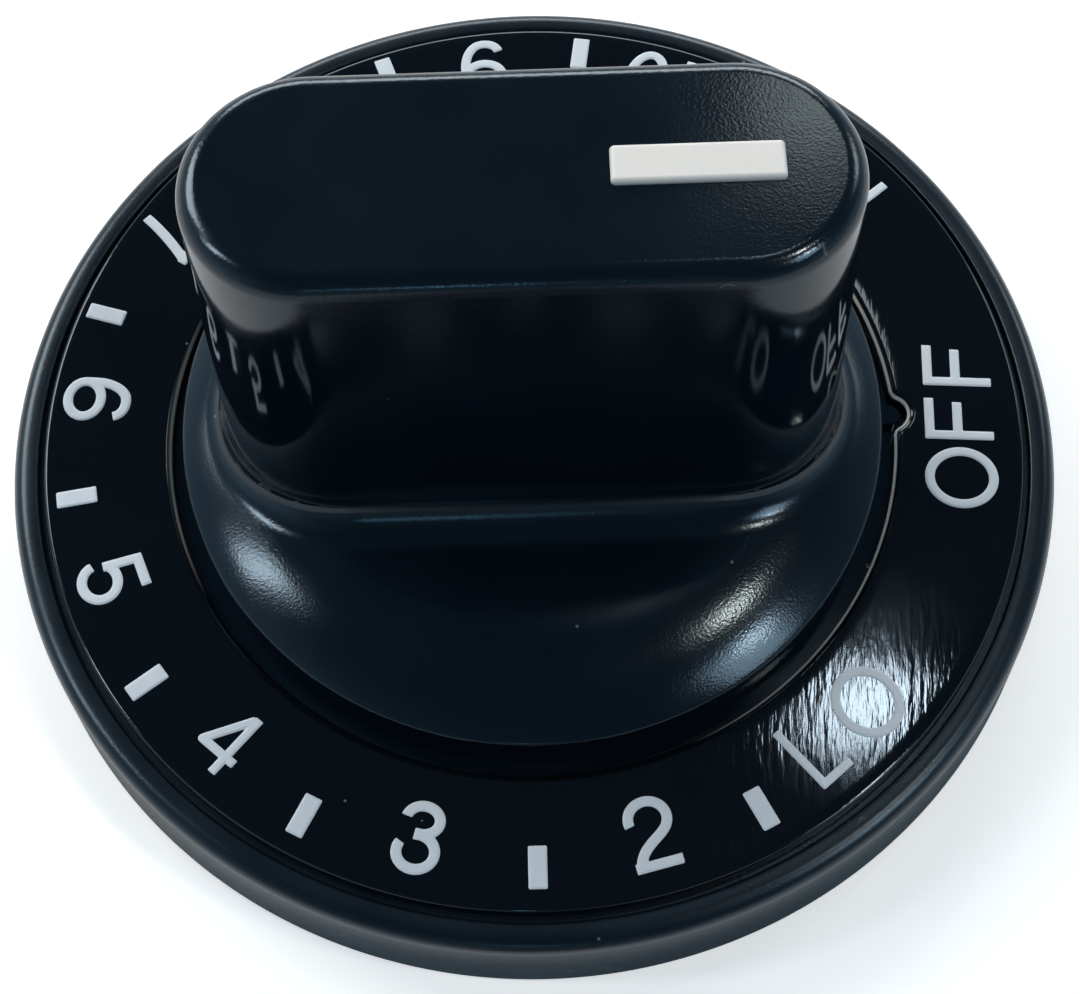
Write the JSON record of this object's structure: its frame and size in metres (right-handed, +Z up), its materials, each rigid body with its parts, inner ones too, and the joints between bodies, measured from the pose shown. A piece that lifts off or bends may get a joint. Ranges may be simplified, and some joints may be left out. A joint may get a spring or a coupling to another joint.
{
  "type": "range burner knob",
  "caption": "Round black control knob with a paddle grip, white pointer bar, skirt with a numbered dial ring, and a slotted stem with a D-shaft socket held by a spring band.",
  "frame": {"origin": "centre of the skirt's foot, on the shaft axis", "axes": "+Z up the shaft axis towards the grip, +X along the pointer towards the OFF place"},
  "size_m": [0.0634, 0.0634, 0.0344],
  "materials": {
    "body_plastic": "satin gloss black moulding",
    "dial_gloss": "high gloss black plate",
    "dial_print": "pale screen-printed ink",
    "pointer_white": "matte white plastic",
    "spring_steel": "bright spring steel strip"
  },
  "bodies": {
    "root": {"knob_body": "body_plastic", "dial_plate": "dial_gloss", "dial_ticks": "dial_print", "pointer_inlay": "pointer_white", "shaft_spring_clip": "spring_steel"}
  },
  "joints": []
}
